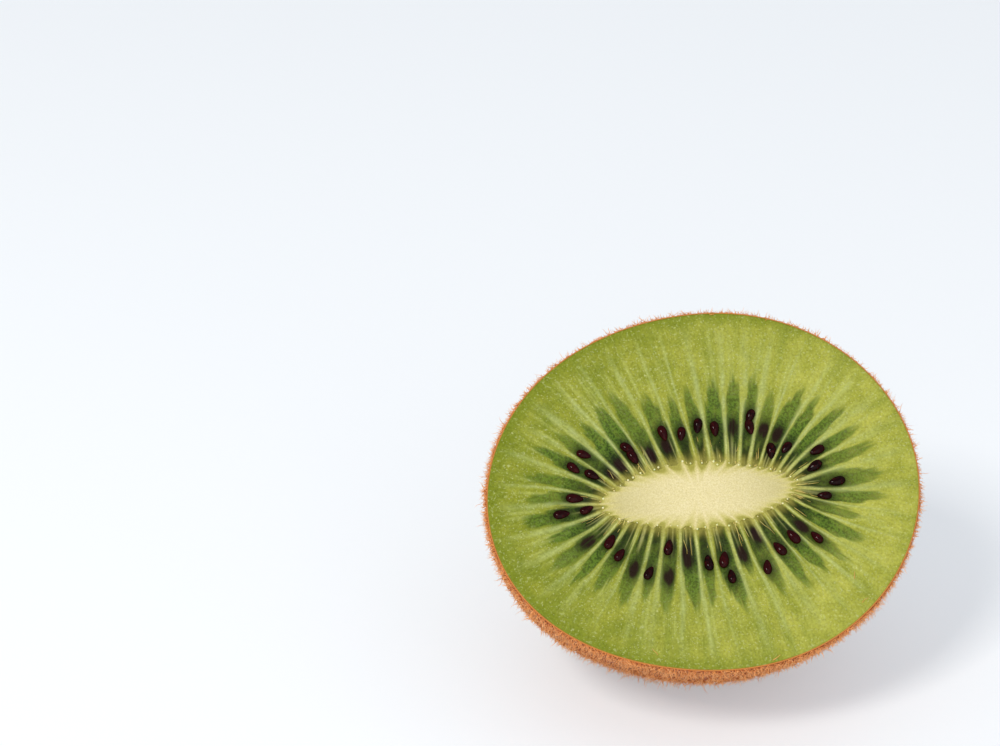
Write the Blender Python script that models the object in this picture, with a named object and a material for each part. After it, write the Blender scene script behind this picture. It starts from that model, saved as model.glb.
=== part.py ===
# Half of a kiwi fruit, cut across its middle and lying on its rounded side.
#
# The half is worked out in an upright frame of its own, with the cut in the
# plane z = 0 and the blossom end below it. It is then leaned over the way a
# half comes to rest, flattened a little where it touches the table, and moved
# so that the origin lies under the middle of its box.

import math

import bmesh
import bpy
import numpy as np
from mathutils import Matrix, Vector

# Driving dimensions, in metres and degrees.
CUT_LENGTH = 0.0514        # the cut's long way
CUT_WIDTH = 0.0443         # the cut's short way
HALF_LENGTH = 0.0298       # from the cut to the blossom end
SIDE_FULLNESS = 2.05       # exponent of the side's curve; 2 is an ellipse
LEAN = 40.0                # how far the cut tips forward, towards -Y
ROLL = 9.2                 # how far the cut's long way turns within the cut
REST_DEPTH = 0.00035       # how much of the lowest point the table flattens

# The outline's waves: crests in one turn, height as a share of the radius,
# and the angle of one crest from the long way. They fade towards the end.
OUTLINE_WAVES = (
    (3, 0.0100, 59.0),
    (4, 0.0038, 27.0),
    (5, 0.0025, -10.5),
)

# The blossom end: a low knob that stands in a shallow ring.
KNOB_RADIUS = 0.0022
KNOB_HEIGHT = 0.0008
RING_RADIUS = 0.0060
RING_DEPTH = 0.0006

# How finely the surface is divided.
TURN_STEPS = 88
SIDE_STEPS = 22
SIDE_STEPS_END = 80.0      # degrees down the side where the end's rings start
KNOB_STEPS = 7
CUT_STEPS = 4

SKIN_COLOUR = (0.33, 0.19, 0.08, 1.0)
FLESH_COLOUR = (0.36, 0.47, 0.07, 1.0)


def outline_radius(turn, spread):
    """Distance from the axis at angle `turn`, for a ring `spread` times the cut's size."""
    half_length = CUT_LENGTH / 2
    half_width = CUT_WIDTH / 2
    ellipse = half_length * half_width / np.hypot(
        half_width * np.cos(turn), half_length * np.sin(turn))
    waves = sum(
        height * np.cos(crests * (turn - math.radians(crest_angle)))
        for crests, height, crest_angle in OUTLINE_WAVES)
    return spread * ellipse * (1 + spread * waves)


def ring(turn, spread, depth):
    """Points of one ring round the axis, at the given size and depth below the cut."""
    radius = outline_radius(turn, spread)
    return np.column_stack((
        radius * np.cos(turn),
        radius * np.sin(turn),
        np.full_like(turn, -depth)))


def end_relief(radius):
    """How far the blossom end stands out from the smooth curve, at a distance from the axis."""
    knob = KNOB_HEIGHT * math.exp(-(radius / KNOB_RADIUS) ** 2)
    hollow = RING_DEPTH * math.exp(-(radius / RING_RADIUS) ** 2)
    return knob - hollow


def side_rings(turn):
    """Rings from the edge of the cut down to the blossom end."""
    angles = np.concatenate((
        np.linspace(0.0, SIDE_STEPS_END, SIDE_STEPS, endpoint=False),
        np.linspace(SIDE_STEPS_END, 90.0, KNOB_STEPS, endpoint=False)))
    for angle in np.radians(angles):
        spread = math.cos(angle) ** (2 / SIDE_FULLNESS)
        fall = math.sin(angle) ** (2 / SIDE_FULLNESS)
        depth = HALF_LENGTH * fall + end_relief(spread * CUT_WIDTH / 2)
        yield ring(turn, spread, depth if angle > 0 else 0.0)


def cut_rings(turn):
    """Rings inside the edge of the cut, from the innermost outwards."""
    for step in range(1, CUT_STEPS):
        yield ring(turn, step / CUT_STEPS, 0.0)


def bridge(bm, upper, lower):
    """Faces between two rings, pointing away from the solid."""
    count = len(upper)
    for i in range(count):
        j = (i + 1) % count
        bm.faces.new((upper[i], lower[i], lower[j], upper[j]))


def close(bm, rim, point, outward_order):
    """A fan of triangles from a ring to one point."""
    tip = bm.verts.new(point)
    count = len(rim)
    for i in range(count):
        j = (i + 1) % count
        corners = (rim[i], rim[j], tip) if outward_order else (rim[j], rim[i], tip)
        bm.faces.new(corners)


def upright_half():
    """The half as a closed mesh, cut uppermost."""
    turn = np.linspace(0.0, 2 * math.pi, TURN_STEPS, endpoint=False)
    loops = [*cut_rings(turn), *side_rings(turn)]
    bm = bmesh.new()
    rows = [[bm.verts.new(point) for point in loop] for loop in loops]
    for inner, outer in zip(rows, rows[1:]):
        bridge(bm, inner, outer)
    close(bm, rows[0], (0.0, 0.0, 0.0), True)
    end = -(HALF_LENGTH + end_relief(0.0))
    close(bm, rows[-1], (0.0, 0.0, end), False)
    return bm


def lay_down(bm):
    """Leans the half over, flattens its lowest point and stands it on z = 0."""
    pose = Matrix.Rotation(math.radians(LEAN), 4, "X") @ Matrix.Rotation(math.radians(ROLL), 4, "Z")
    bmesh.ops.transform(bm, matrix=pose, verts=bm.verts)

    table = min(vert.co.z for vert in bm.verts) + REST_DEPTH
    everything = [*bm.verts, *bm.edges, *bm.faces]
    bmesh.ops.bisect_plane(
        bm, geom=everything, dist=1e-7, clear_inner=True,
        plane_co=(0.0, 0.0, table), plane_no=(0.0, 0.0, 1.0))
    open_edges = [edge for edge in bm.edges if edge.is_boundary]
    bmesh.ops.contextual_create(bm, geom=open_edges)

    low = Vector(min(vert.co[axis] for vert in bm.verts) for axis in range(3))
    high = Vector(max(vert.co[axis] for vert in bm.verts) for axis in range(3))
    middle = (low + high) / 2
    bmesh.ops.translate(bm, vec=(-middle.x, -middle.y, -low.z), verts=bm.verts)


def food_material(name, colour, roughness):
    material = bpy.data.materials.new(name)
    material.use_nodes = True
    shader = material.node_tree.nodes["Principled BSDF"]
    shader.inputs["Base Color"].default_value = colour
    shader.inputs["Roughness"].default_value = roughness
    shader.inputs["Metallic"].default_value = 0.0
    return material


def paint_cut(mesh):
    """Gives the cut its flesh colour; it is the one flat face that faces forward and up."""
    lean = math.radians(LEAN)
    cut_normal = Vector((0.0, -math.sin(lean), math.cos(lean)))
    for polygon in mesh.polygons:
        polygon.material_index = 1 if polygon.normal.dot(cut_normal) > 0.9999 else 0


def add_half():
    bm = upright_half()
    lay_down(bm)
    mesh = bpy.data.meshes.new("kiwi_half")
    bm.to_mesh(mesh)
    bm.free()
    mesh.materials.append(food_material("furry_skin", SKIN_COLOUR, 0.85))
    mesh.materials.append(food_material("cut_flesh", FLESH_COLOUR, 0.35))
    paint_cut(mesh)
    mesh.shade_smooth()
    mesh.set_sharp_from_angle(angle=math.radians(35))
    half = bpy.data.objects.new("kiwi_half", mesh)
    bpy.context.scene.collection.objects.link(half)
    return half


for old in list(bpy.data.objects):
    bpy.data.objects.remove(old, do_unlink=True)

add_half()
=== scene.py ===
import bpy
import numpy as np
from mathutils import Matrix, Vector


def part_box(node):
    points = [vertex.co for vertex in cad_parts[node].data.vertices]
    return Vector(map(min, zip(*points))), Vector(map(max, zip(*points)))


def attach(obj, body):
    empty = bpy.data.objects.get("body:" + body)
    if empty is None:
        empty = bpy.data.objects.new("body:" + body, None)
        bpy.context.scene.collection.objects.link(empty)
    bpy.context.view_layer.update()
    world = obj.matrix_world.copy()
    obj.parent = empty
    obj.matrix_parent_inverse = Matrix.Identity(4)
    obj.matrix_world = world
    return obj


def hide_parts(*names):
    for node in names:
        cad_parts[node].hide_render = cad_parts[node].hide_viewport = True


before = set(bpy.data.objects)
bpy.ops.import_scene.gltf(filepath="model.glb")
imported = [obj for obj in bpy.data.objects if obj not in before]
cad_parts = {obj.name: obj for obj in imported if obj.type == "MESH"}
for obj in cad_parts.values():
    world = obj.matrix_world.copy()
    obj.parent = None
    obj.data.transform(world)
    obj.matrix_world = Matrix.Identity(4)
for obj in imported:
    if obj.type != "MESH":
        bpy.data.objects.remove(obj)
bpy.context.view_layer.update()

from types import SimpleNamespace
from mathutils import Matrix, Vector

mm = 0.001


def addPiece(name, points, quads, triangles=None, values=None, uv=None):
    # one mesh from whole arrays: points (n, 3), four-cornered and three-cornered faces,
    # values as {name: one number or one vector for each point}, uv as one pair for each point
    triangles = np.zeros((0, 3), int) if triangles is None else triangles
    corners = np.concatenate((quads.ravel(), triangles.ravel()))
    sizes = np.concatenate((np.full(len(quads), 4), np.full(len(triangles), 3)))
    mesh = bpy.data.meshes.new(name)
    mesh.vertices.add(len(points))
    mesh.vertices.foreach_set("co", np.asarray(points, np.float32).ravel())
    mesh.loops.add(len(corners))
    mesh.loops.foreach_set("vertex_index", corners.astype(np.int32))
    mesh.polygons.add(len(sizes))
    mesh.polygons.foreach_set("loop_start", (np.cumsum(sizes) - sizes).astype(np.int32))
    mesh.update(calc_edges=True)
    for label, column in (values or {}).items():
        column = np.asarray(column, np.float32)
        kind, field = ("FLOAT", "value") if column.ndim == 1 else ("FLOAT_VECTOR", "vector")
        mesh.attributes.new(label, kind, "POINT").data.foreach_set(field, column.ravel())
    if uv is not None:
        layer = mesh.uv_layers.new(name="OFBake")
        layer.data.foreach_set("uv", np.asarray(uv, np.float32)[corners].ravel())
    mesh.validate()
    mesh.shade_smooth()
    piece = bpy.data.objects.new(name, mesh)
    bpy.context.scene.collection.objects.link(piece)
    return piece


def gridQuads(rows, columns):
    # faces between neighbouring rows of a grid whose columns run once round and meet
    upper = np.arange(rows - 1)[:, None] * columns + np.arange(columns)[None, :]
    right = np.arange(rows - 1)[:, None] * columns + (np.arange(columns)[None, :] + 1) % columns
    return np.stack((upper, upper + columns, right + columns, right), -1).reshape(-1, 4)


def poleTriangles(firstOfRow, columns, pole, flip):
    # a fan from one row of a grid to a single point, turned round where flip is true
    here = firstOfRow + np.arange(columns)
    there = firstOfRow + (np.arange(columns) + 1) % columns
    faces = np.stack((here, there, np.full(columns, pole)), -1)
    return faces[:, ::-1] if flip else faces


def repeated(faces, copies, pointsPerCopy):
    # the faces of one small shape, once for each copy of it
    return (faces[None] + (np.arange(copies) * pointsPerCopy)[:, None, None]).reshape(-1, faces.shape[1])


def smooth(value, low, high):
    # eased step: 0 below low, 1 above high, 3t^2 - 2t^3 between
    t = np.clip((value - low) / (high - low), 0.0, 1.0)
    return t * t * (3.0 - 2.0 * t)


def ripples(turn, along, seed, waves=24, mostRound=30, mostAlong=30.0):
    # soft unevenness that closes round the fruit: a sum of sines, each with a whole
    # number of crests round and any number along, scaled to about -1..1
    rng = np.random.default_rng(seed)
    total = np.zeros(np.broadcast(turn, along).shape)
    for wave in range(waves):
        crests = rng.integers(1, mostRound + 1) * rng.choice((-1, 1))
        total += np.sin(crests * turn + rng.uniform(0, mostAlong) * along + rng.uniform(0, 6.283))
    return total / np.sqrt(waves)


def unit(vectors):
    return vectors / np.maximum(np.linalg.norm(vectors, axis=-1, keepdims=True), 1e-12)


def toLinear(hexText):
    # sRGB hex to the linear colour that a shader socket takes
    values = np.array([int(hexText[i:i + 2], 16) for i in (1, 3, 5)]) / 255
    linear = np.where(values <= 0.04045, values / 12.92, ((values + 0.055) / 1.055) ** 2.4)
    return (*linear.tolist(), 1.0)


def addNode(tree, kind, inputs=(), give=0, **settings):
    # adds one node, sets its fields, fills or links its inputs and gives back one output;
    # inputs are given by name or in their order, and a colour as hex
    node = tree.nodes.new("ShaderNode" + kind)
    for field, value in settings.items():
        setattr(node, field, value)
    for socket, value in inputs.items() if isinstance(inputs, dict) else enumerate(inputs):
        if isinstance(value, bpy.types.NodeSocket):
            tree.links.new(value, node.inputs[socket])
        else:
            node.inputs[socket].default_value = toLinear(value) if isinstance(value, str) else value
    return node.outputs[give]


# settings of a node that mixes colours: input 0 is the share, 6 the colour under and 7 over
colourMix = dict(give=2, data_type="RGBA")


def newMaterial(name, shader):
    # a Principled material with whole-surface values set on the shader's own sockets
    material = bpy.data.materials.new(name)
    material.use_nodes = True
    principled = material.node_tree.nodes["Principled BSDF"]
    for socket, value in shader.items():
        principled.inputs[socket].default_value = toLinear(value) if isinstance(value, str) else value
    return material, material.node_tree


def finishMaterial(material, links):
    # joins the last nodes to the shader's sockets
    tree = material.node_tree
    for socket, output in links.items():
        tree.links.new(output, tree.nodes["Principled BSDF"].inputs[socket])
    return material


# the fruit's own shape, by the same formula as the frame's solid
fruit = dict(
    cutLength=51.4 * mm,           # the cut's long way
    cutWidth=44.3 * mm,            # the cut's short way
    halfLength=29.8 * mm,          # from the cut to the blossom end
    fullness=2.05,                 # exponent of the side's curve, 2 is an ellipse
    lean=40.0,                     # degrees the cut tips towards -Y
    roll=9.2,                      # degrees the long way turns within the cut
    # low waves of the outline: how many round, height as a share of the radius, degrees
    waves=((3, 0.0100, 59.0), (4, 0.0038, 27.0), (5, 0.0025, -10.5)),
    knob=(2.2 * mm, 0.8 * mm),     # radius and height of the knob at the blossom end
    ring=(6.0 * mm, 0.6 * mm),     # radius and depth of the hollow round it
    lumps=0.10 * mm,               # soft unevenness of the skin
    fur=0.45 * mm,                 # how far the skin lies inside the fur's outline
)


def outlineRadius(turn, spread=1.0):
    # an ellipse in polar form, times one plus a few low waves that fade towards the end
    a, b = fruit["cutLength"] / 2, fruit["cutWidth"] / 2
    ellipse = a * b / np.hypot(b * np.cos(turn), a * np.sin(turn))
    waves = sum(h * np.cos(n * (turn - np.radians(at))) for n, h, at in fruit["waves"])
    return spread * ellipse * (1 + spread * waves)


def fruitPoint(turn, down, depth=0.0, skinned=True):
    # the rounded side as a function of two angles, turn round the fruit and down from the
    # cut: radius goes as cos(down)^(2/n) and depth as sin(down)^(2/n), less the inset
    # depth; skinned gives the bare skin, uneven and inside the outline of its fur
    if skinned:
        depth = depth + fruit["fur"] * smooth(down, 0.0, 0.32)
    power = 2 / fruit["fullness"]
    spread = np.clip(np.cos(down), 0.0, 1.0) ** power
    fall = np.clip(np.sin(down), 0.0, 1.0) ** power
    radius = outlineRadius(turn, spread) - depth * np.cos(down)
    near = spread * fruit["cutWidth"] / 2
    knob = fruit["knob"][1] * np.exp(-(near / fruit["knob"][0]) ** 2)
    hollow = fruit["ring"][1] * np.exp(-(near / fruit["ring"][0]) ** 2)
    level = depth * np.sin(down) - fruit["halfLength"] * fall - (knob - hollow) * smooth(down, 0.0, 0.3)
    if skinned:
        swell = fruit["lumps"] * ripples(turn, down, 11, 16, 7, 9.0) * spread * smooth(down, 0.0, 0.2)
        radius = radius + swell * np.cos(down)
        level = level - swell * np.sin(down)
    return np.stack((radius * np.cos(turn), radius * np.sin(turn), level + 0 * turn), -1)


leanTurn = Matrix.Rotation(np.radians(fruit["lean"]), 3, "X")
rollTurn = Matrix.Rotation(np.radians(fruit["roll"]), 3, "Z")
poseTurn = np.array(leanTurn @ rollTurn)

# the half is leaned over, then set into the box of the solid that it replaces
ringTurns, ringDowns = np.meshgrid(np.linspace(0, 2 * np.pi, 721), np.linspace(0, np.pi / 2, 181))
leaned = (fruitPoint(ringTurns, ringDowns, skinned=False) @ poseTurn.T).reshape(-1, 3)
boxLow, boxHigh = (np.array(corner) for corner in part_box("kiwi_half"))
shift = (boxLow + boxHigh) / 2 - (leaned.min(0) + leaned.max(0)) / 2
shift[2] = boxHigh[2] - leaned[:, 2].max()


def place(points, floor=None):
    # upright points to where the half lies; floor keeps them from going under that height
    placed = np.asarray(points) @ poseTurn.T + shift
    if floor is not None:
        placed[..., 2] = np.maximum(placed[..., 2], floor)
    return placed


def addClosed(name, bodies, columns, values=None, flip=False, floor=None):
    # closed shapes that are all made alike: bodies (n, points, 3) holds the rings of points
    # of each one, then the poles at its two ends; flip turns the faces round
    n, each = bodies.shape[:2]
    rings = (each - 2) // columns
    quads = gridQuads(rings, columns)
    if flip:
        quads = quads[:, ::-1]
    triangles = np.concatenate((
        poleTriangles(0, columns, each - 2, flip),
        poleTriangles((rings - 1) * columns, columns, each - 1, not flip)))
    return addPiece(name, place(bodies.reshape(-1, 3), floor), repeated(quads, n, each),
                    repeated(triangles, n, each), values)


core = dict(
    length=23.3 * mm, width=8.2 * mm,
    centre=(-0.95 * mm, -0.60 * mm),
    tilt=-3.2,             # degrees from the cut's long way
    lens=1.70,             # exponent of its outline, between a diamond and an ellipse
    skew=0.05,             # how far its sides bulge out of line with each other
    rise=0.10 * mm,        # how far its middle stands above the cut
    tooth=0.42 * mm,       # how far it runs out along each wall
    bay=0.12 * mm,         # and how far the chambers cut into it
    frayed=0.06 * mm, grain=0.008 * mm,      # unevenness of its edge and of its top
    overlap=0.04 * mm,     # how far it covers the flesh all round
    toWall=0.5 * mm,       # how much further in the rim counts at a wall
    perChamber=12, rings=18, depth=1.2 * mm,
)

chambers = dict(
    count=39, uneven=0.11,
    reach=0.665, reachMore=0.060, reachJitter=0.065,   # how far out the tips go, core to skin
    short=(5, 10, 14, 20, 30, 36), shortBy=0.15,       # some end sooner
    perChamber=22, rings=100,
    sink=0.06 * mm,        # how far the soft chambers lie under the cut
    wallWidth=0.10 * mm,
    seed=5,
)

skin = dict(thickness=0.13 * mm, pores=0.02 * mm, columns=320, rings=96, innerRings=20)

# how many degrees the lines start aside of their own angle, and how square to the core
fan = dict(turned=5.0, square=0.38)

smallTurn = 1e-3           # the step over which slopes are measured, in radians


def coreEdge(turn):
    # a lens: superellipse radius at each angle, a little skewed, then turned and moved
    c, s = np.cos(turn), np.sin(turn)
    radius = (np.abs(c) ** core["lens"] + np.abs(s) ** core["lens"]) ** (-1 / core["lens"])
    radius = radius * (1 - core["skew"] * np.sin(2 * turn))
    x, y = core["length"] / 2 * radius * c, core["width"] / 2 * radius * s
    tilt = np.radians(core["tilt"])
    return np.stack((
        core["centre"][0] + x * np.cos(tilt) - y * np.sin(tilt),
        core["centre"][1] + x * np.sin(tilt) + y * np.cos(tilt)), -1)


def fanPoint(turn, share):
    # lines that leave the core nearly square to its edge and reach the skin nearly
    # straight out: a cubic between the two edges with those two directions
    start = coreEdge(turn - np.radians(fan["turned"]) * np.sin(turn))
    edge = outlineRadius(turn) - skin["thickness"]
    end = np.stack((edge * np.cos(turn), edge * np.sin(turn)), -1)
    chord = end - start
    length = np.linalg.norm(chord, axis=-1, keepdims=True)
    along = coreEdge(turn + smallTurn) - coreEdge(turn - smallTurn)
    square = unit(np.stack((along[..., 1], -along[..., 0]), -1))
    leave = unit((1 - fan["square"]) * chord / length + fan["square"] * square) * length
    s = np.asarray(share)[..., None]
    return (start * (2 * s**3 - 3 * s**2 + 1) + leave * (s**3 - 2 * s**2 + s)
            + end * (3 * s**2 - 2 * s**3) + chord * (s**3 - s**2))


def layOutChambers():
    rng = np.random.default_rng(chambers["seed"])
    count = chambers["count"]
    walls = (np.arange(count) + rng.uniform(-1, 1, count) * chambers["uneven"]) * 2 * np.pi / count
    walls = np.append(walls, walls[0] + 2 * np.pi)
    middle = (walls[:-1] + walls[1:]) / 2
    reach = (chambers["reach"] + chambers["reachMore"] * np.cos(2 * middle)
             + chambers["reachJitter"] * rng.uniform(-1, 1, count))
    reach[list(chambers["short"])] -= chambers["shortBy"]
    return walls, reach


walls, chamberReach = layOutChambers()


def columnsRound(perChamber, crowding=0.0):
    # for each column round the cut, the number of its chamber and its place across that
    # chamber, -1 to 1; crowding draws the columns together at the walls
    steps = np.arange(chambers["count"] * perChamber)
    f = (steps % perChamber) / perChamber
    return steps // perChamber, 2 * (f - crowding / (2 * np.pi) * np.sin(2 * np.pi * f)) - 1


def chamberTurn(number, across):
    # the angle at a place across a chamber, -1 at its first wall and 1 at its second
    number = np.asarray(number) % chambers["count"]
    return walls[number] + (across + 1) / 2 * (walls[number + 1] - walls[number])


def rowsUnder(outline, steps):
    # copies of an outline of the core, each drawn in to a share of it and lowered
    middle = np.array(core["centre"])
    return np.concatenate([
        np.concatenate((middle + (outline - middle) * s, np.full((len(outline), 1), -depth)), -1)
        for s, depth in steps])


seeds = dict(
    length=1.92 * mm, width=1.04 * mm, height=0.84 * mm,
    # for each chamber in turn: N near the core, M midway, F far out, small letters for
    # seeds that lie just under the cut and show as dark blurs
    plan="M F . M Nm m MF m M M M Mn n MN n Fn FM . M FN . f M M f F Nf nm M FM m Fn M M Fm . . M F",
    near=0.145, midway=0.235, far=0.335, spread=0.02,     # how far out, core to skin
    size=(0.88, 1.08), taper=0.28,
    swing=0.24, nod=0.16,                    # how far they turn aside and tip, in radians
    level=(-0.16 * mm, 0.06 * mm),           # their middle, from the level of the cut
    columns=14, rings=9, seed=8,
)


def layOutSeeds():
    rng = np.random.default_rng(seeds["seed"])
    placesOut = {"N": seeds["near"], "M": seeds["midway"], "F": seeds["far"]}
    rows = []
    for chamber, letters in enumerate(seeds["plan"].split()):
        for letter in letters.strip("."):
            out = placesOut[letter.upper()] + rng.normal() * seeds["spread"]
            rows.append((chamber, rng.uniform(-0.3, 0.3), out, letter.islower()))
    chamber, across, share, sunk = np.array(rows).T
    return chamber.astype(int), across, share, sunk > 0.5


seedChamber, seedAcross, seedShare, seedSunk = layOutSeeds()


def seedFrames(which):
    # centre and direction, in the cut's plane, of the chosen seeds
    turn = chamberTurn(seedChamber[which], seedAcross[which])
    centre = fanPoint(turn, seedShare[which])
    ahead = unit(fanPoint(turn, seedShare[which] + 0.02) - centre)
    return centre, ahead


def nearSeeds(points, which, longer, wider):
    # 0 far from every chosen seed and 1 at a middle: a bell over each seed's oval
    centres, ahead = seedFrames(which)
    strongest = np.zeros(points.shape[:-1])
    for centre, direction in zip(centres, ahead):
        offset = points - centre
        along = offset @ direction / (seeds["length"] / 2 * longer)
        beside = offset @ np.array((-direction[1], direction[0])) / (seeds["width"] / 2 * wider)
        strongest = np.maximum(strongest, np.exp(-(along**2 + beside**2) ** 1.5))
    return strongest


def stripes(turnGrid, perRadian, turns, halfWidths):
    # 1 on lines that run out at the given angles, falling to 0 beside them as a bell over
    # the distance in metres
    total = np.zeros(turnGrid.shape)
    for turn, halfWidth in zip(turns, halfWidths):
        apart = (turnGrid - turn + np.pi) % (2 * np.pi) - np.pi
        total = np.maximum(total, np.exp(-(apart * perRadian / halfWidth) ** 2))
    return total


pulp = dict(
    crowding=0.35,                       # how much closer the columns stand at the walls
    girth=(0.86, 1.10), bend=0.22,       # each chamber's width and how far its tip bends
    green=(0.80, 1.0),                   # and how strongly it shows
    darkTo=(1.2 * mm, 5.6 * mm),         # from the core: darkest up to the first, not past the second
    wallShown=(0.6, 1.0), wallSize=(0.5, 1.5),
    fibres=150, fibreWidth=0.10 * mm,    # loose fibres between the walls and the skin
    lines=90, lineWidth=0.07 * mm, lineLength=(1.6 * mm, 4.4 * mm),
    # heights of the relief: pits round the seeds and a groove at the core go down
    pit=0.10 * mm, groove=0.05 * mm, wall=0.035 * mm, fibre=0.012 * mm, grain=0.010 * mm, swell=0.03 * mm,
    under=0.6 * mm, gap=0.05 * mm,       # how deep it lies under the core and behind the skin
    lowest=0.1 * mm,                     # it stays this far above the floor
)


def cutGrid():
    # the cut as rows from the core out to the skin, whose columns follow the fan's lines,
    # closer together at the walls; with what the patterns are worked out from: how far out
    # in its chamber each point is, how far from core and skin, and two kinds of unevenness
    number, across = columnsRound(chambers["perChamber"], pulp["crowding"])
    turn, share = np.meshgrid(chamberTurn(number, across), np.linspace(0, 1, chambers["rings"]) ** 1.1)
    points = fanPoint(turn, share)
    apart = fanPoint(turn + smallTurn, share) - fanPoint(turn - smallTurn, share)
    return SimpleNamespace(
        number=number, across=across, turn=turn, share=share, points=points,
        out=share / chamberReach[number],
        perRadian=np.linalg.norm(apart, axis=-1) / (2 * smallTurn),
        fromCore=np.linalg.norm(points - fanPoint(turn, 0 * share), axis=-1),
        fromSkin=np.linalg.norm(fanPoint(turn, 1 + 0 * share) - points, axis=-1),
        frayed=ripples(turn, share, 21, 40, 260, 24.0),      # fine and drawn out along the lines
        blotchy=ripples(turn, share, 22, 30, 110, 50.0))


def chamberMasks(cut, rng):
    # half width of each chamber as a share of its sector: it widens at first, then draws in
    # along a curve to a point that may bend to one side
    count, out, frayed, blotchy = chambers["count"], cut.out, cut.frayed, cut.blotchy
    girth = rng.uniform(*pulp["girth"], count)[cut.number]
    bend = rng.normal(0, pulp["bend"], count)[cut.number]
    half = (0.64 + 0.25 * smooth(out, 0.05, 0.4)) * girth * (1 - np.clip(out, 0, 1) ** 3.2) ** 0.9
    inside = half - np.abs(cut.across + bend * out**2) + 0.10 * frayed * smooth(out, 0.05, 0.4)
    chamber = smooth(inside + 0.08 * blotchy, -0.06 - 0.08 * out, 0.08 + 0.08 * out)
    chamber = chamber * (1 - smooth(out + 0.07 * frayed, 0.84, 1.10))
    strength = rng.uniform(*pulp["green"], count)[cut.number]
    chamber = chamber * strength * (1 - 0.14 * np.clip(blotchy, 0, 1.5)) * (1 - 0.20 * smooth(out, 0.35, 1.0))
    # it is darkest close to the core and round the seeds; sunk seeds show as dark blurs
    dark = (1 - smooth(cut.fromCore + 0.6 * mm * blotchy, *pulp["darkTo"])) * smooth(inside, -0.25, 0.30)
    uneven = 1 + 0.22 * blotchy + 0.22 * frayed
    sunk = smooth(nearSeeds(cut.points, seedSunk, 1.2, 1.2) * uneven, 0.25, 0.80)
    halo = np.maximum(nearSeeds(cut.points, ~seedSunk, 1.7, 1.9), nearSeeds(cut.points, seedSunk, 1.8, 2.0))
    return dict(chamber=chamber, dark=dark, sunk=sunk, halo=halo * smooth(inside, -0.35, 0.1))


def wallMasks(cut, rng):
    # the walls: thin pale lines at the core that spread and fade on their way out
    count, share = chambers["count"], cut.share
    width = chambers["wallWidth"] * (1 + 2.6 * share)
    wavy = cut.turn + 0.012 * share * ripples(cut.turn, share, 25, 20, 40, 14.0)
    width = width * rng.uniform(*pulp["wallSize"], count)[:, None, None]
    wall = stripes(wavy, cut.perRadian, walls[:-1], width)
    nearest = np.where(cut.across < 0, cut.number, (cut.number + 1) % count)
    wall = wall * rng.uniform(*pulp["wallShown"], count)[nearest]
    wall = wall * (1 - 0.55 * smooth(share, 0.40, 0.85)) * (1 - smooth(share, 0.80, 0.97))
    wall = wall * np.clip(0.80 + 0.30 * cut.blotchy, 0.25, 1)
    # loose fibres that start half way and go on almost to the skin
    loose = pulp["fibres"]
    drift = rng.normal(0, 0.012, loose)[:, None, None] * (share - 0.6)[None]
    starts, ends = rng.uniform(0.28, 0.60, loose), rng.uniform(0.70, 0.98, loose)
    fibre = np.zeros(share.shape)
    for index, at in enumerate(rng.uniform(0, 2 * np.pi, loose)):
        line = stripes(cut.turn - drift[index], cut.perRadian, [at], [pulp["fibreWidth"] * (1 + share)])
        shown = smooth(share, starts[index], starts[index] + 0.12)
        shown = shown * (1 - smooth(share, ends[index] - 0.2, ends[index]))
        fibre = np.maximum(fibre, line * shown * (0.35 + 0.65 * rng.uniform()))
    # the walls are creamy near the core, and so are more fine lines between them there
    creamy = wall * (1 - smooth(cut.fromCore, 0.4 * mm, 3.4 * mm))
    ends = rng.uniform(*pulp["lineLength"], pulp["lines"])
    for end, at in zip(ends, rng.uniform(0, 2 * np.pi, pulp["lines"])):
        line = stripes(wavy, cut.perRadian, [at], [pulp["lineWidth"]])
        shown = 1 - smooth(cut.fromCore, end * 0.5, end)
        creamy = np.maximum(creamy, line * shown * rng.uniform(0.2, 0.65))
    return dict(wall=wall, fibre=fibre, creamy=creamy)


def edgeMasks(cut):
    # a green rind inside the skin, strongest on the left and top and faded on the right, which is partly real
    # and partly painted shade; painted light that makes the flesh paler and yellower towards the right and
    # bottom; and a golden glow, then olive, where the flesh meets the core
    x, y = cut.points[..., 0], cut.points[..., 1]
    rough = 0.2 * mm * cut.blotchy
    rindAndShade = 1 - smooth(cut.fromSkin + 0.25 * mm * cut.blotchy, 0.0, 2.1 * mm)
    # painted shade: the rind stays dark on the left and top and fades towards the right and bottom
    rindAndShade = rindAndShade * (1 - 0.85 * smooth(0.9 * x - 0.45 * y, 0.0, 0.4 * fruit["cutLength"]))
    # painted light: the flesh grows paler and yellower towards the right and a little towards the bottom
    paintedLitSide = smooth(0.95 * x - 0.20 * y, -0.48 * fruit["cutLength"], 0.40 * fruit["cutLength"])
    glow = 1 - smooth(cut.fromCore + 0.2 * mm * cut.frayed + rough, 0.0, 1.4 * mm)
    glow = glow * (0.60 + 0.40 * smooth(np.abs(cut.across), 0.30, 0.95))
    olive = (1 - smooth(cut.fromCore + rough, 0.0, 1.9 * mm)) * (1 - 0.5 * glow)
    return dict(paintedLitSide=paintedLitSide, olive=olive, rindAndShade=rindAndShade, glow=glow)


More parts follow.
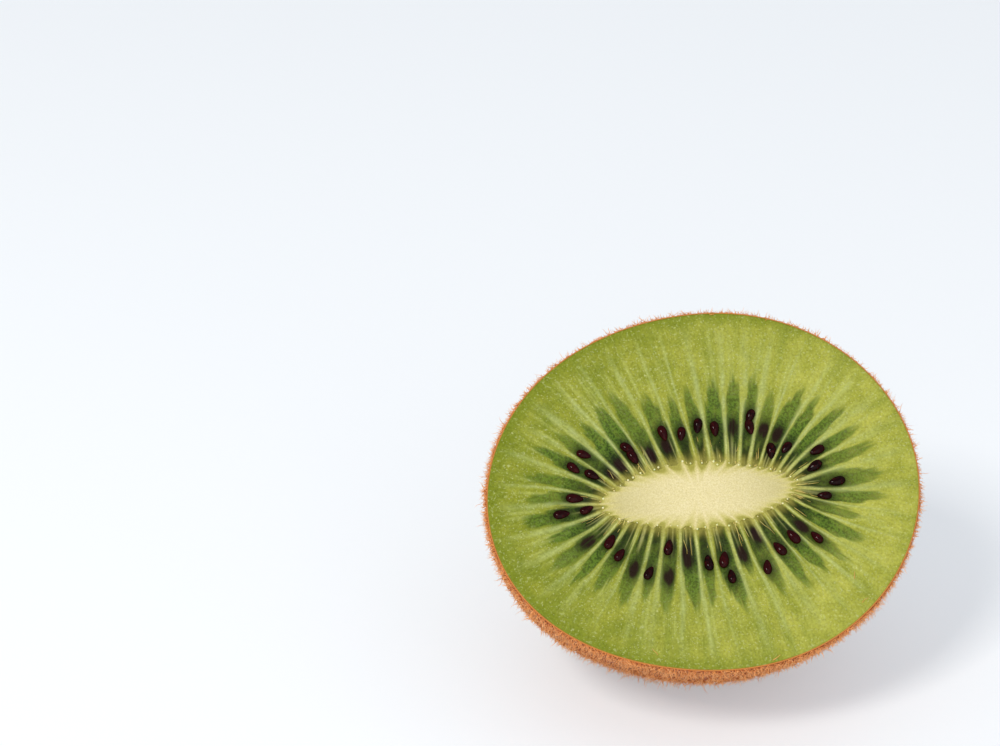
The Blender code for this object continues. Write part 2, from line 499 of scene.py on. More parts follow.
def makeFlesh():
    # rows run from the middle of the cut out to the skin, then down inside the skin to the
    # blossom end
    cut = cutGrid()
    rng = np.random.default_rng(chambers["seed"] + 1)
    masks = chamberMasks(cut, rng) | wallMasks(cut, rng) | edgeMasks(cut)

    # relief: soft chambers and pits lie a little lower, walls and fibres a little higher
    pits = nearSeeds(cut.points, ~seedSunk, 1.12, 1.15)
    level = (-chambers["sink"] * masks["chamber"] * smooth(cut.out, 0.05, 0.3) - pulp["pit"] * pits
             + pulp["wall"] * masks["wall"] + pulp["fibre"] * masks["fibre"] + pulp["grain"] * cut.frayed
             + pulp["swell"] * ripples(cut.turn, cut.share, 24, 12, 6, 8.0))
    level = level * (1 - smooth(cut.share, 0.97, 1.0))
    level = level - pulp["groove"] * (1 - smooth(cut.fromCore, 0.0, 0.3 * mm))
    face = np.concatenate((cut.points, level[..., None]), -1)

    # two rows under the core, and seven down the inside of the skin
    columns = cut.turn.shape[1]
    inner = rowsUnder(cut.points[0], ((0.35, pulp["under"]), (0.84, 0.15 * pulp["under"])))
    turnIn, downIn = np.meshgrid(cut.turn[0], np.radians((4, 14, 30, 46, 62, 76, 86)))
    side = fruitPoint(turnIn, downIn, skin["thickness"] + pulp["gap"]).reshape(-1, 3)
    poles = [[*core["centre"], -pulp["under"]], [0, 0, -fruit["halfLength"] + 1.0 * mm]]
    body = np.concatenate((inner, face.reshape(-1, 3), side, poles))

    # each mask's value on every point: before the cut, on it, after it and at the two poles
    around = {label: (0, 0) for label in masks} | {"rindAndShade": (0, 1), "glow": (1, 0)}
    values = {label: np.concatenate((
        np.full(len(inner), before), masks[label].ravel(), np.full(len(side), after), (before, after)))
        for label, (before, after) in around.items()}
    circle = np.stack((np.cos(cut.turn), np.sin(cut.turn), cut.share), -1).reshape(-1, 3)
    values["fan"] = np.concatenate((np.zeros(inner.shape), circle, np.zeros((len(side) + 2, 3))))
    return addClosed("flesh", body[None], columns, values, floor=pulp["lowest"])


def fleshMaterial():
    # kiwi flesh, freshly cut: wet, slightly see-through green pulp in fine radial fibres,
    # so light sinks in a little and colours are soft; the wet surface glints in grains, partly
    # from its bumps and partly from pale specks and drops painted in as highlights
    look = dict(
        # the two colours of the lit side are painted light: paler, yellower flesh towards the right
        pale="#929831", green="#768322", paintedLitSide="#babb54", paintedLitSideGreen="#a2a63f",
        # the rind colour is a real green band under the skin that also carries painted shade on the left
        streak="#7c8b33", fibre="#b6be68", rindAndShade="#788520", chamber="#5c7d28", deep="#243f0e",
        dark="#121a07", halo="#182309", wall="#b5c17c", creamy="#cbca7e", sunk="#220c0b",
        # the speck and drop colours are painted highlights, pale glints of the wet surface
        glow="#b0a850", olive="#66621f", paintedGlintSpeck="#dadfa6", paintedGlintDrop="#c6cf90", grain="#d4d4d4")
    material, tree = newMaterial("freshKiwiFlesh", {
        "Roughness": 0.34, "IOR": 1.37, "Specular IOR Level": 0.15, "Subsurface Weight": 0.08,
        "Subsurface Scale": 0.0004, "Subsurface Radius": (1.0, 1.1, 0.35),
    })
    where = addNode(tree, "TexCoord", give="Object")
    lines = addNode(tree, "Attribute", give="Vector", attribute_name="fan")
    # fibres run out from the core: 80 crests in a radian are about 0.2 mm apart half way out
    drawn = addNode(tree, "Mapping", {"Vector": lines, "Scale": (25, 25, 2.5)})
    fibres = addNode(tree, "TexNoise", {"Vector": drawn, "Scale": 3.2, "Detail": 4, "Roughness": 0.65})
    broad = addNode(tree, "TexNoise", {"Vector": drawn, "Scale": 0.55, "Detail": 3, "Roughness": 0.5})
    # pulp cells are about 0.25 mm, clusters of them about 2 mm
    cells = addNode(tree, "TexNoise", {"Vector": where, "Scale": 3600, "Detail": 2, "Roughness": 0.6})
    clusters = addNode(tree, "TexNoise", {"Vector": where, "Scale": 420, "Detail": 3, "Roughness": 0.55})
    # painted highlights: fine noise for pale specks and drops that stand in for glints of the wet surface
    paintedGlintSpecks = addNode(tree, "TexNoise", {"Vector": where, "Scale": 4600, "Detail": 1})
    paintedGlintDrops = addNode(tree, "TexNoise", {"Vector": where, "Scale": 2700, "Detail": 2})

    # where each pattern starts to show and where it shows in full
    ranges = dict(
        green=(clusters, 0.32, 0.68), streak=(broad, 0.50, 0.68), fine=(fibres, 0.52, 0.72),
        paintedGlintSpeck=(paintedGlintSpecks, 0.64, 0.74), paintedGlintDrop=(paintedGlintDrops, 0.60, 0.74), deep=(cells, 0.42, 0.58),
        grain=(cells, 0.25, 0.75))
    shares = {name: addNode(tree, "MapRange", limits) for name, limits in ranges.items()}
    # painted light: the colour of the brighter right side, blotched by the same clusters
    paintedLitSide = addNode(tree, "Mix", {0: shares["green"], 6: look["paintedLitSide"], 7: look["paintedLitSideGreen"]}, **colourMix)
    green = addNode(tree, "Mix", {0: shares["deep"], 6: look["chamber"], 7: look["deep"]}, **colourMix)
    # each layer: an attribute or a pattern, how strongly it shows, its colour
    layers = [
        (shares["green"], 1.0, look["green"]),
        # painted light: paler, yellower flesh towards the right
        ("paintedLitSide", 0.85, paintedLitSide),
        (shares["streak"], 0.40, look["streak"]),
        (shares["fine"], 0.30, look["fibre"]),
        # a real green rind under the skin, with painted shade that keeps it darkest on the left
        ("rindAndShade", 0.75, look["rindAndShade"]),
        ("fibre", 0.62, look["fibre"]),
        # painted highlights: pale specks and drops standing in for glints of the wet surface
        (shares["paintedGlintSpeck"], 0.38, look["paintedGlintSpeck"]),
        (shares["paintedGlintDrop"], 0.42, look["paintedGlintDrop"]),
        ("chamber", 0.95, green),
        ("halo", 0.82, look["halo"]),
        ("dark", 0.82, look["dark"]),
        ("olive", 0.62, look["olive"]),
        ("sunk", 0.90, look["sunk"]),
        ("wall", 0.78, look["wall"]),
        ("creamy", 0.90, look["creamy"]),
        ("glow", 0.80, look["glow"]),
    ]
    colour = look["pale"]
    for mask, strength, over in layers:
        if isinstance(mask, str):
            mask = addNode(tree, "Attribute", give="Fac", attribute_name=mask)
        share = addNode(tree, "Math", (mask, strength), operation="MULTIPLY")
        colour = addNode(tree, "Mix", {0: share, 6: colour, 7: over}, **colourMix)
    grain = addNode(tree, "Mix", {0: shares["grain"], 6: look["grain"], 7: "#ffffff"}, **colourMix)
    colour = addNode(tree, "Mix", {0: 1.0, 6: colour, 7: grain}, blend_type="MULTIPLY", **colourMix)

    rough = addNode(tree, "MapRange", (cells, 0.3, 0.7, 0.24, 0.5))
    bump = addNode(tree, "Bump", {"Strength": 0.45, "Distance": 0.00008, "Height": cells})
    bump = addNode(tree, "Bump", {"Strength": 0.35, "Distance": 0.00012, "Height": fibres, "Normal": bump})
    return finishMaterial(material, {"Base Color": colour, "Roughness": rough, "Normal": bump})


def makeCore():
    # a lens that stands a little proud of the cut: rows go from its middle over the top to
    # its edge and back under; at each wall of the fan its edge runs out in a short tooth,
    # and a few chambers cut a bay into it
    count = chambers["count"]
    number, across = columnsRound(core["perChamber"])
    turn = chamberTurn(number, across)
    columns = len(turn)
    edge = fanPoint(turn, np.zeros_like(turn))
    outward = unit(fanPoint(turn, np.full_like(turn, 0.02)) - edge)
    toothSize = np.random.default_rng(31).uniform(0.3, 1.7, count + 1)
    nearest = np.where(across < 0, number, number + 1) % count
    tooth = np.abs(across) ** 4 * toothSize[nearest] * core["tooth"]
    baySize = 5 * np.random.default_rng(34).uniform(0, 1, count)[number] ** 4
    tooth = tooth - (1 - across**2) ** 2 * baySize * core["bay"]
    frayed = core["frayed"] * ripples(turn, 0 * turn, 32, 24, 200, 1.0)
    rim = edge + outward * (core["overlap"] + tooth + frayed)[:, None]
    middle = np.array(core["centre"])

    spread = np.sin(np.linspace(0, np.pi / 2, core["rings"] + 1)[1:])[:, None]
    turnGrid = np.broadcast_to(turn, (len(spread), columns))
    height = core["rise"] * (1 - spread**3) + 0 * turnGrid
    height = height + core["grain"] * ripples(turnGrid, spread * 3, 33, 24, 40, 24.0) * (spread < 0.99)
    flat = middle + (edge - middle)[None] * spread[..., None] + (rim - edge)[None] * spread[..., None] ** 12
    top = np.concatenate((flat, height[..., None]), -1)
    # four rows back under it, each drawn in to a share of the rim and down to a share of the depth
    shares = ((0.995, 0.08), (0.96, 0.5), (0.8, 0.9), (0.4, 1.0))
    under = rowsUnder(rim, [(s, core["depth"] * d) for s, d in shares])
    poles = [[*middle, core["rise"]], [*middle, -core["depth"]]]
    body = np.concatenate((top.reshape(-1, 3), under, poles))

    # distance from the rim in mm, counted as more where the rim meets a wall, so that core
    # and wall share a colour there, and how near a point is to the two ends of the lens
    fromRim = np.linalg.norm(rim[None] - flat, axis=-1) + core["toWall"] * np.abs(across) ** 3
    fromRim = np.concatenate((fromRim.ravel(), np.zeros(len(under)), (core["width"] / 2, 0)))
    ends = np.clip((body[:, 0] - middle[0]) / (core["length"] / 2), -1, 1) ** 2
    return addClosed("core", body[None], columns, {"fromRim": fromRim / mm, "ends": ends})


def coreMaterial():
    # kiwi core: pale, dense, starchy tissue; matt and slightly see-through, cream in the
    # middle and greener towards its edge, with a grain of fine cells
    material, tree = newMaterial("creamKiwiCore", {
        "Roughness": 0.5, "IOR": 1.4, "Subsurface Weight": 0.25, "Subsurface Scale": 0.0006,
        "Subsurface Radius": (1.0, 0.9, 0.5),
    })
    where = addNode(tree, "TexCoord", give="Object")
    fromRim = addNode(tree, "Attribute", give="Fac", attribute_name="fromRim")
    # cells of 0.2 mm and patches of 2 mm; the green of the edge reaches in unevenly
    grain = addNode(tree, "TexNoise", {"Vector": where, "Scale": 6000, "Detail": 2, "Roughness": 0.7})
    patches = addNode(tree, "TexNoise", {"Vector": where, "Scale": 520, "Detail": 3})
    uneven = addNode(tree, "MapRange", (patches, 0.3, 0.7, -0.45, 0.45))
    inward = addNode(tree, "Math", (fromRim, uneven), operation="ADD")
    ends = addNode(tree, "Attribute", give="Fac", attribute_name="ends")
    share = addNode(tree, "Math", (ends, 1.3), operation="MULTIPLY", use_clamp=True)
    colour = addNode(tree, "Mix", {0: share, 6: "#e0d6a8", 7: "#c2ba84"}, **colourMix)
    # over how many mm from the rim each colour gives way to what lies further in
    for reach, over in ((2.6, "#cfc687"), (1.3, "#bdb768"), (0.6, "#a09c44")):
        share = addNode(tree, "MapRange", (inward, 0.3 * reach, reach, 1.0, 0.0))
        colour = addNode(tree, "Mix", {0: share, 6: colour, 7: over}, **colourMix)
    light = addNode(tree, "MapRange", (grain, 0.3, 0.7))
    light = addNode(tree, "Mix", {0: light, 6: "#e4e0cf", 7: "#ffffff"}, **colourMix)
    colour = addNode(tree, "Mix", {0: 1.0, 6: colour, 7: light}, blend_type="MULTIPLY", **colourMix)
    bump = addNode(tree, "Bump", {"Strength": 0.22, "Distance": 0.00007, "Height": grain})
    return finishMaterial(material, {"Base Color": colour, "Normal": bump})


threads = dict(
    perChamber=1.5,                                  # on average, between the walls
    shortest=0.9 * mm, longest=3.4 * mm, width=0.15 * mm,
    bend=0.012, wave=0.010,                          # how far they stray, in radians
    depth=0.030 * mm,                                # they dip this far and come up again
    flat=0.4,                                        # height as a share of width
    sides=4, parts=6, seed=15,
)


def makeThreads():
    # fine yellow threads that tie the seeds to the core: bent tubes, flattened to the cut,
    # that start under the core's edge and run out between the walls, thinner as they go
    rng = np.random.default_rng(threads["seed"])
    n = int(threads["perChamber"] * chambers["count"])
    number = rng.integers(0, chambers["count"], n)
    across = rng.uniform(-0.72, 0.72, n)
    turn = chamberTurn(number, across)
    length = rng.uniform(threads["shortest"], threads["longest"], n)
    start = fanPoint(turn, np.zeros(n))
    reach = np.linalg.norm(fanPoint(turn, np.ones(n)) - start, axis=-1)
    t = np.linspace(0, 1, threads["parts"] + 1)[None, :]
    bend = rng.normal(0, threads["bend"], n)[:, None] * t**2
    bend = bend + rng.normal(0, threads["wave"], n)[:, None] * np.sin(5 * t)
    flat = fanPoint(turn[:, None] + bend, (length / reach)[:, None] * t - 0.006)
    height = threads["depth"] * (np.sin(7 * t + rng.uniform(0, 6, n)[:, None]) - 1)
    line = np.concatenate((flat, height[..., None]), -1)
    ahead = unit(np.gradient(line, axis=1))
    side = unit(np.cross((0, 0, 1.0), ahead))
    width = threads["width"] / 2 * rng.uniform(0.7, 1.25, n)[:, None] * (1 - 0.6 * t)
    width = width[..., None]
    angles = np.linspace(0, 2 * np.pi, threads["sides"], endpoint=False)
    up = np.array((0, 0, threads["flat"]))
    rings = [line + side * (width * np.cos(a)) + up * (width * np.sin(a)) for a in angles]
    bodies = np.concatenate((np.stack(rings, 2).reshape(n, -1, 3), line[:, :1], line[:, -1:]), 1)
    along = np.tile(np.concatenate((np.repeat(t[0], threads["sides"]), (0, 1))), n)
    tint = np.repeat(rng.uniform(0, 1, n), bodies.shape[1])
    return addClosed("threads", bodies, threads["sides"], {"along": along, "tint": tint}, flip=True)


def threadMaterial():
    # seed stalks: wet, yellow, slightly see-through plant threads, palest at the core
    material, tree = newMaterial("yellowSeedStalk", {
        "Roughness": 0.35, "IOR": 1.4, "Subsurface Weight": 0.1, "Subsurface Scale": 0.0003,
    })
    along = addNode(tree, "Attribute", give="Fac", attribute_name="along")
    tint = addNode(tree, "Attribute", give="Fac", attribute_name="tint")
    colour = addNode(tree, "Mix", {0: along, 6: "#d2c670", 7: "#a08a3c"}, **colourMix)
    share = addNode(tree, "Math", (tint, 0.5), operation="MULTIPLY")
    colour = addNode(tree, "Mix", {0: share, 6: colour, 7: "#a5853e"}, **colourMix)
    return finishMaterial(material, {"Base Color": colour})


coreBeads = dict(
    apart=1.15 * mm, width=0.26 * mm, height=0.13 * mm,
    inset=(-0.3 * mm, 0.55 * mm),      # how far inside the core's edge they lie
    root=0.3 * mm,                     # how deep their underside goes into the core
    columns=8, rings=3, seed=17,
)


def makeCoreBeads():
    # the cut ends of the veins round the core: low domes a little inside its edge, radius
    # going as cos(t) and height as sin(t)
    rng = np.random.default_rng(coreBeads["seed"])
    fine = np.linspace(0, 2 * np.pi, 1441)
    edge = coreEdge(fine)
    walked = np.concatenate(((0,), np.cumsum(np.linalg.norm(np.diff(edge, axis=0), axis=-1))))
    n = int(walked[-1] / coreBeads["apart"])
    turn = np.interp((np.arange(n) + rng.uniform(-0.3, 0.3, n)) * walked[-1] / n, walked, fine)
    outward = coreEdge(turn) - np.array(core["centre"])
    inset = rng.uniform(*coreBeads["inset"], n) / np.linalg.norm(outward, axis=-1)
    centre = core["centre"] + outward * (1 - inset)[:, None]
    t = np.linspace(0, np.pi / 2, coreBeads["rings"] + 1)[:-1]
    phi = np.linspace(0, 2 * np.pi, coreBeads["columns"], endpoint=False)
    tGrid, phiGrid = np.meshgrid(t, phi, indexing="ij")
    dome = np.stack((
        np.cos(tGrid) * np.cos(phiGrid) * coreBeads["width"] / 2,
        np.cos(tGrid) * np.sin(phiGrid) * coreBeads["width"] / 2,
        np.sin(tGrid) * coreBeads["height"]), -1).reshape(-1, 3)
    dome = np.concatenate((dome, [[0, 0, -coreBeads["root"]], [0, 0, coreBeads["height"]]]))
    bodies = dome[None] * rng.uniform(0.6, 1.15, n)[:, None, None]
    bodies[..., :2] += centre[:, None]
    return addClosed("coreBeads", bodies, coreBeads["columns"], flip=True)


def beadMaterial():
    # cut veins: wet, almost white plant tissue with a faint yellow mottle
    material, tree = newMaterial("paleCutVein", {
        "Roughness": 0.3, "IOR": 1.38, "Subsurface Weight": 0.2, "Subsurface Scale": 0.0003,
    })
    where = addNode(tree, "TexCoord", give="Object")
    mottle = addNode(tree, "TexNoise", {"Vector": where, "Scale": 900, "Detail": 1})
    share = addNode(tree, "MapRange", (mottle, 0.35, 0.65))
    colour = addNode(tree, "Mix", {0: share, 6: "#e9e5b4", 7: "#d2ce8c"}, **colourMix)
    return finishMaterial(material, {"Base Color": colour})


def makeSeeds():
    # each seed is a teardrop that points to the core: an oval whose girth goes as
    # sin(t), less near its point, half sunk in the flesh and lying along the fan
    centres, ahead = seedFrames(~seedSunk)
    rng = np.random.default_rng(41)
    n = len(centres)
    size = rng.uniform(*seeds["size"], n)
    t = np.linspace(0, np.pi, seeds["rings"] + 2)[1:-1]
    phi = np.linspace(0, 2 * np.pi, seeds["columns"], endpoint=False)
    tGrid, phiGrid = np.meshgrid(t, phi, indexing="ij")
    girth = np.sin(tGrid) * (1 - seeds["taper"] * np.cos(tGrid))
    shape = np.stack((
        -np.cos(tGrid) * seeds["length"] / 2,
        girth * np.cos(phiGrid) * seeds["width"] / 2,
        girth * np.sin(phiGrid) * seeds["height"] / 2), -1).reshape(-1, 3)
    shape = np.concatenate((shape, [[-seeds["length"] / 2, 0, 0], [seeds["length"] / 2, 0, 0]]))
    swing = rng.normal(0, seeds["swing"], n)
    direction = unit(np.stack((
        ahead[:, 0] * np.cos(swing) - ahead[:, 1] * np.sin(swing),
        ahead[:, 0] * np.sin(swing) + ahead[:, 1] * np.cos(swing),
        rng.uniform(-seeds["nod"], seeds["nod"], n)), -1))
    side = unit(np.cross((0, 0, 1.0), direction))
    up = np.cross(direction, side)
    local = shape[None] * size[:, None, None]
    bodies = (centres[:, None, :] @ np.eye(2, 3) + local[..., 0:1] * direction[:, None]
              + local[..., 1:2] * side[:, None] + local[..., 2:3] * up[:, None])
    bodies[..., 2] += rng.uniform(*seeds["level"], n)[:, None]
    tint = np.repeat(rng.uniform(0, 1, n), len(shape))
    return addClosed("seeds", bodies, seeds["columns"], {"tint": tint}, flip=True)


def seedMaterial():
    # kiwi seed coat: hard, almost black red-brown shell, wet, so it mirrors the lamps in
    # small sharp highlights over faint dimples
    material, tree = newMaterial("wetSeedCoat", {
        "Roughness": 0.5, "IOR": 1.5, "Specular IOR Level": 0.0,
        "Coat Weight": 0.17, "Coat Roughness": 0.05, "Coat IOR": 1.5,
    })
    where = addNode(tree, "TexCoord", give="Object")
    tint = addNode(tree, "Attribute", give="Fac", attribute_name="tint")
    colour = addNode(tree, "Mix", {0: tint, 6: "#0c0001", 7: "#280305"}, **colourMix)
    mottle = addNode(tree, "TexNoise", {"Vector": where, "Scale": 2500, "Detail": 2})
    share = addNode(tree, "MapRange", (mottle, 0.5, 0.75, 0.0, 0.5))
    colour = addNode(tree, "Mix", {0: share, 6: colour, 7: "#480a0c"}, **colourMix)
    dimples = addNode(tree, "TexVoronoi", {"Vector": where, "Scale": 5500}, give="Distance")
    bump = addNode(tree, "Bump", {"Strength": 0.2, "Distance": 0.00003, "Height": dimples})
    return finishMaterial(material, {"Base Color": colour, "Normal": bump})


def makeSkin():
    # a thin shell: rows go down the outside to the blossom end and, inset by its
    # thickness, back up the inside to the cut, so that its cut edge is closed
    columns = skin["columns"]
    turn = np.linspace(0, 2 * np.pi, columns, endpoint=False)
    outerDown = np.radians(np.linspace(0, 88.5, skin["rings"]))
    innerDown = np.radians(np.linspace(86, 0, skin["innerRings"]))
    turnGrid, downGrid = np.meshgrid(turn, outerDown)
    outer = fruitPoint(turnGrid, downGrid)
    pores = skin["pores"] * ripples(turnGrid, downGrid, 51, 60, 110, 140.0)[..., None] * unit(outer)
    outer = outer + pores * smooth(downGrid, 0.0, 0.05)[..., None]
    turnIn, downIn = np.meshgrid(turn, innerDown)
    inner = fruitPoint(turnIn, downIn, skin["thickness"])
    lip = (outer[0] + inner[-1]) / 2
    ragged = (0.02 + 0.04 * ripples(turn, 0 * turn, 52, 30, 120, 1.0)) * mm
    lip[:, 2] += np.clip(ragged, 0, None)
    rows = np.concatenate((lip[None], outer, inner))
    total = rows.shape[0] * columns
    tips = np.array([[0, 0, outer[-1, :, 2].mean()], [0, 0, inner[0, :, 2].mean()]])
    points = place(np.concatenate((rows.reshape(-1, 3), tips)), 0.0)
    outerRows = 1 + skin["rings"]
    insideStart = outerRows * columns
    lastInner = insideStart + (skin["innerRings"] - 1) * columns
    here = np.arange(columns)
    there = (here + 1) % columns
    join = np.stack((lastInner + here, here, there, lastInner + there), -1)
    quads = np.concatenate((
        gridQuads(outerRows, columns), gridQuads(skin["innerRings"], columns) + insideStart, join))
    triangles = np.concatenate((
        poleTriangles((outerRows - 1) * columns, columns, total, True),
        poleTriangles(insideStart, columns, total + 1, False)))
    down = np.concatenate((np.zeros(columns), downGrid.ravel(), downIn.ravel(), (1.57, 1.57)))
    return addPiece("skin", points, quads, triangles, {"down": down})


def skinMaterial():
    # kiwi skin: thin, dry, corky brown peel with darker flecks; matt between the hairs
    material, tree = newMaterial("driedBrownPeel", {"Roughness": 0.75, "IOR": 1.45})
    where = addNode(tree, "TexCoord", give="Object")
    down = addNode(tree, "Attribute", give="Fac", attribute_name="down")
    # patches of 4 mm, flecks of 0.4 mm
    patches = addNode(tree, "TexNoise", {"Vector": where, "Scale": 260, "Detail": 4, "Roughness": 0.6})
    flecks = addNode(tree, "TexNoise", {"Vector": where, "Scale": 2400, "Detail": 3, "Roughness": 0.7})
    # each layer: a pattern, where it starts and ends, its strength at the two, its colour
    layers = [
        (patches, 0.3, 0.7, 0.0, 1.0, "#8a3f1a"),
        (down, 0.15, 0.6, 0.0, 0.6, "#642a12"),
        (flecks, 0.52, 0.66, 0.0, 0.75, "#5e2811"),
        (down, 0.0, 0.012, 0.9, 0.0, "#c07a34"),
    ]
    colour = "#a04c20"
    for *limits, over in layers:
        share = addNode(tree, "MapRange", limits)
        colour = addNode(tree, "Mix", {0: share, 6: colour, 7: over}, **colourMix)
    bump = addNode(tree, "Bump", {"Strength": 0.6, "Distance": 0.0001, "Height": flecks})
    return finishMaterial(material, {"Base Color": colour, "Normal": bump})


# how many, length and root width in mm, how unequal the lengths are, the least and most that
# they lie flat, how much they curl and how many parts each has
hairs = dict(
    shortHairs=dict(count=16000, length=0.60, width=0.08, spread=0.25,
                    lie=(0.5, 1.6), curl=0.9, parts=1, seed=61),
    middleHairs=dict(count=12000, length=0.85, width=0.09, spread=0.28,
                     lie=(1.0, 3.0), curl=1.5, parts=2, seed=62),
    longHairs=dict(count=6800, length=1.25, width=0.12, spread=0.28,
                   lie=(2.0, 5.0), curl=1.8, parts=4, seed=63),
    fringeHairs=dict(count=5200, length=0.50, width=0.09, spread=0.30, curl=1.5, parts=3, seed=64),
    wave=0.11,             # height of the waves of hairs with three or more parts, of their length
    tuft=3.2, stray=0.6,   # how far the lean turns from tuft to tuft and hair to hair, in radians
)


def rootsOnSkin(count, rng):
    # random places with equal chances for equal areas: more are drawn than needed and
    # kept with a chance that follows the area of skin that each stands for
    turn = rng.uniform(0, 2 * np.pi, count * 3)
    down = rng.uniform(0.0, 1.52, count * 3)
    area = np.cos(down) * np.hypot(fruit["halfLength"] * np.cos(down), fruit["cutWidth"] / 2 * np.sin(down))
    area = area * outlineRadius(turn)
    kept = np.flatnonzero(rng.uniform(0, area.max(), count * 3) < area)[:count]
    return turn[kept], down[kept]


def skinFrame(turn, down):
    # outward, round and downward directions, from the surface's slopes over small steps
    ahead = fruitPoint(turn + smallTurn, down) - fruitPoint(turn - smallTurn, down)
    lower, higher = np.minimum(down + smallTurn, 1.57), np.maximum(down - smallTurn, 0.0)
    below = fruitPoint(turn, lower) - fruitPoint(turn, higher)
    return unit(np.cross(below, ahead)), unit(ahead), unit(below)


def growHairs(name, roots, ups, kind, rng, longer=1.0):
    # each hair is a closed, three-sided needle on a bent line: root + length * (up * t +
    # sideways * t^2 + a wave), thinner towards its tip
    n = len(roots)
    length = kind["length"] * mm * np.exp(rng.normal(0, kind["spread"], n))[:, None, None]
    length = np.minimum(length, kind["length"] * mm * 1.6) * np.reshape(longer, (-1, 1, 1))
    bend = unit(rng.normal(size=(n, 3)))[:, None]
    up = unit(ups)[:, None]
    parts = kind["parts"]
    t = np.linspace(0, 1, parts + 2)[None, :, None]
    line = roots[:, None] + length * (up * t + kind["curl"] * 0.5 * bend * t**2)
    line = line - 0.04 * mm * up * (t == 0)
    wave = unit(rng.normal(size=(n, 3)))[:, None]
    wave = hairs["wave"] * wave * np.sin(t * 9 + rng.uniform(0, 6, n)[:, None, None])
    line = line + length * wave * (parts > 2)
    ahead = unit(np.gradient(line, axis=1))
    side = unit(np.cross(ahead, bend + 1e-3))
    other = np.cross(ahead, side)
    width = kind["width"] / 2 * mm * rng.uniform(0.7, 1.3, n)[:, None, None] * (1 - 0.65 * t)
    around = np.radians((0, 120, 240))
    rings = [(line + width * (side * np.cos(a) + other * np.sin(a)))[:, :-1] for a in around]
    points = np.concatenate((np.stack(rings, 2).reshape(n, -1, 3), line[:, -1:]), 1)
    each = points.shape[1]
    quads = gridQuads(parts + 1, 3)[:, ::-1]
    triangles = np.concatenate((poleTriangles(parts * 3, 3, each - 1, False), [[0, 2, 1]]))
    tint = np.repeat(rng.uniform(0, 1, n), each)
    along = np.tile(np.append(np.repeat(t[0, :-1, 0], 3), 1.0), n)
    # the map runs across by tint and up along the hair, so that alike hairs share a place
    beside = np.tile(np.append(np.tile((0.0, 0.01, 0.02), parts + 1), 0.01), n)
    piece = addPiece(name, place(points.reshape(-1, 3), 0.03 * mm), repeated(quads, n, each),
                     repeated(triangles, n, each), {"tint": tint, "along": along},
                     np.stack((0.01 + 0.95 * tint + beside, 0.02 + 0.96 * along), -1))
    print(name, n, "hairs,", len(piece.data.polygons), "faces")
    return piece


def makeCoat(name):
    # the fur on the rounded side, leaning every way and a little down from the cut
    kind = hairs[name]
    rng = np.random.default_rng(kind["seed"])
    turn, down = rootsOnSkin(kind["count"], rng)
    normal, around, below = skinFrame(turn, down)
    # neighbours lean much the same way, so that the fur lies in tufts 2 to 4 mm across
    tuft = hairs["tuft"] * ripples(turn, down, kind["seed"] + 100, 30, 70, 60.0)
    angle = (tuft + rng.normal(0, hairs["stray"], len(turn)))[:, None]
    flat = rng.uniform(*kind["lie"], len(turn))[:, None]
    lean = (around * np.cos(angle) + below * np.sin(angle)) * flat
    lean = lean + below * smooth(0.25 - down, 0.0, 0.25)[:, None] * flat
    # they are longest round the blossom end and shortest near the cut
    longer = 0.60 + 1.10 * smooth(down, 0.38, 0.85)
    return growHairs(name, fruitPoint(turn, down), normal + lean, kind, rng, longer)


def makeFringe():
    # hairs that root right under the cut and stand out round its edge
    kind = hairs["fringeHairs"]
    rng = np.random.default_rng(kind["seed"])
    n = kind["count"]
    turn = rng.uniform(0, 2 * np.pi, n)
    down = np.abs(rng.normal(0, 0.04, n)) + 0.003
    normal, around, below = skinFrame(turn, down)
    lean = around * rng.normal(0, 0.9, n)[:, None] + below * rng.normal(0.35, 0.45, n)[:, None]
    return growHairs("fringeHairs", fruitPoint(turn, down), normal + lean, kind, rng)


looseHairs = dict(
    # for each: degrees round, share of the way to the skin, degrees that it points to
    lying=((-46, 0.78, 75), (-83, 0.985, 20), (-50, 0.93, 15),
           (58, 0.985, 30), (74, 0.99, 160), (-118, 0.93, 110)),
    length=1.0, spread=0.0, width=0.09, curl=0.45, parts=4, seed=65,
)


def makeLooseHairs():
    # a few hairs that the knife left lying on the cut
    lying = np.array(looseHairs["lying"])
    rng = np.random.default_rng(looseHairs["seed"])
    turn, heading = np.radians(lying[:, 0]), np.radians(lying[:, 2])
    roots = np.concatenate((fanPoint(turn, lying[:, 1]), np.full((len(lying), 1), 0.10 * mm)), -1)
    ups = np.stack((np.cos(heading), np.sin(heading), 0.10 + 0 * turn), -1)
    return growHairs("looseHairs", roots, ups, looseHairs, rng)


def hairMaterial(name, root, tip, other):
    # kiwi hair: dry, hollow plant hair; it is matt and goes from a darker root to a paler
    # tip, and some hairs are of another shade
    material, tree = newMaterial(name, {"Roughness": 0.6, "IOR": 1.45, "Specular IOR Level": 0.3})
    tint = addNode(tree, "Attribute", give="Fac", attribute_name="tint")
    along = addNode(tree, "Attribute", give="Fac", attribute_name="along")
    colour = addNode(tree, "Mix", {0: along, 6: root, 7: tip}, **colourMix)
    colour = addNode(tree, "Mix", {0: tint, 6: colour, 7: other}, **colourMix)
    return finishMaterial(material, {"Base Color": colour})


blossom = dict(count=34, length=2.4, spread=0.3, width=0.22, curl=1.1, parts=5, ring=1.5 * mm, seed=71)


